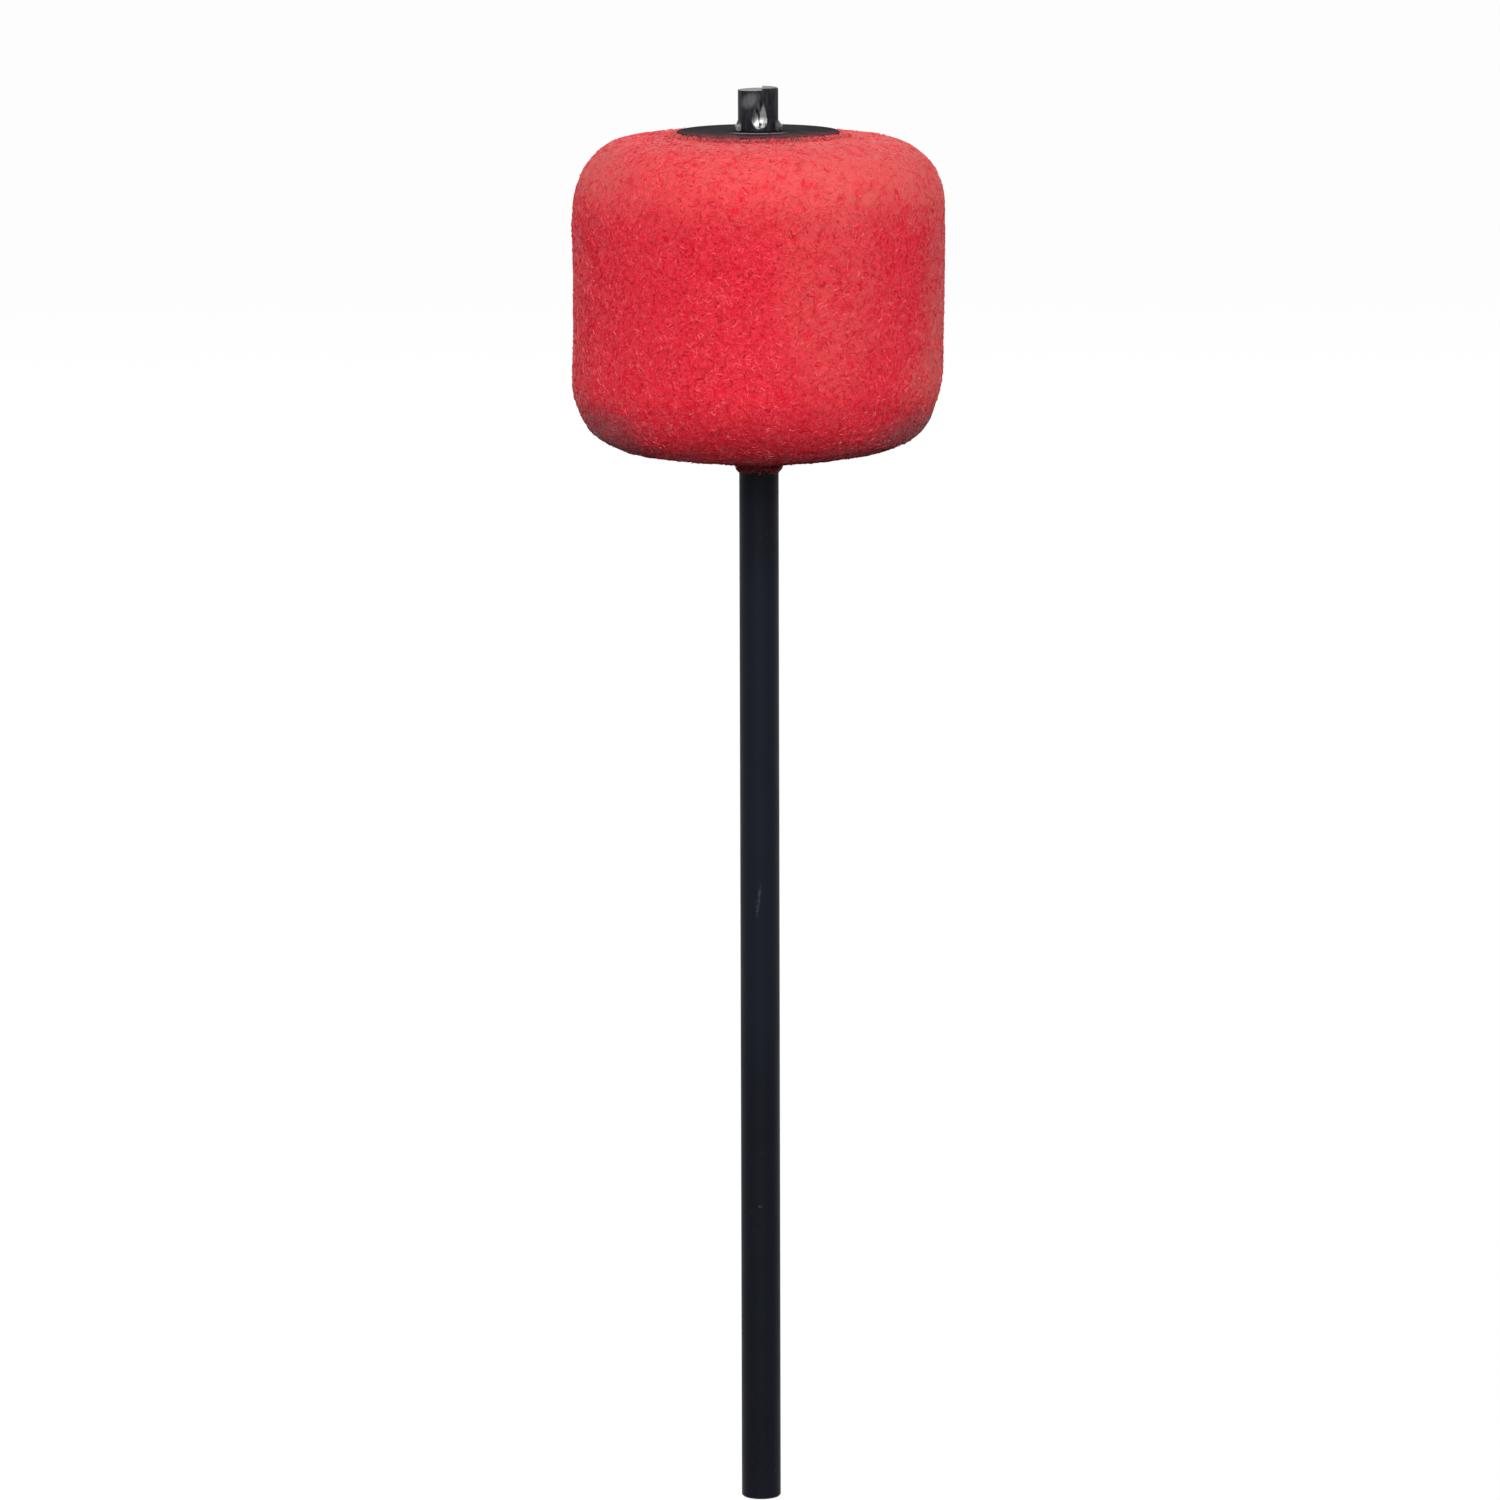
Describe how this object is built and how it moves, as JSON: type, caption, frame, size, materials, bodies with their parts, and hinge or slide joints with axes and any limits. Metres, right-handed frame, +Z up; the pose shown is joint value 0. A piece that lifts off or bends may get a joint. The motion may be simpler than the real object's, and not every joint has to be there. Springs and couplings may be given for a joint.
{
  "type": "bass drum beater",
  "caption": "Straight round steel rod with a crowned cylindrical felt striking head held between washers near its top, clamped in a bass drum pedal by its lower length.",
  "frame": {"origin": "on the rod's axis, at the rod's lower end face", "axes": "+Z up the rod from its lower end to the head, -Y towards the side that the pinch dent faces in the picture, +X to the right of that view"},
  "size_m": [0.0578, 0.0578, 0.2247],
  "materials": {
    "black_rod": "satin",
    "black_washer": "matte",
    "sleeve_plastic": "satin",
    "red_felt": "matte"
  },
  "bodies": {
    "shaft": {"shaft": "black_rod", "top_washer": "black_washer", "bottom_washer": "black_washer"},
    "head": {"felt_head": "red_felt", "core_sleeve": "sleeve_plastic"}
  },
  "joints": [
    {"name": "head_turn", "type": "hinge", "parent": "shaft", "child": "head", "pos_m": [0, 0, 0.1924], "axis": [0, 0, 1], "continuous": true}
  ]
}
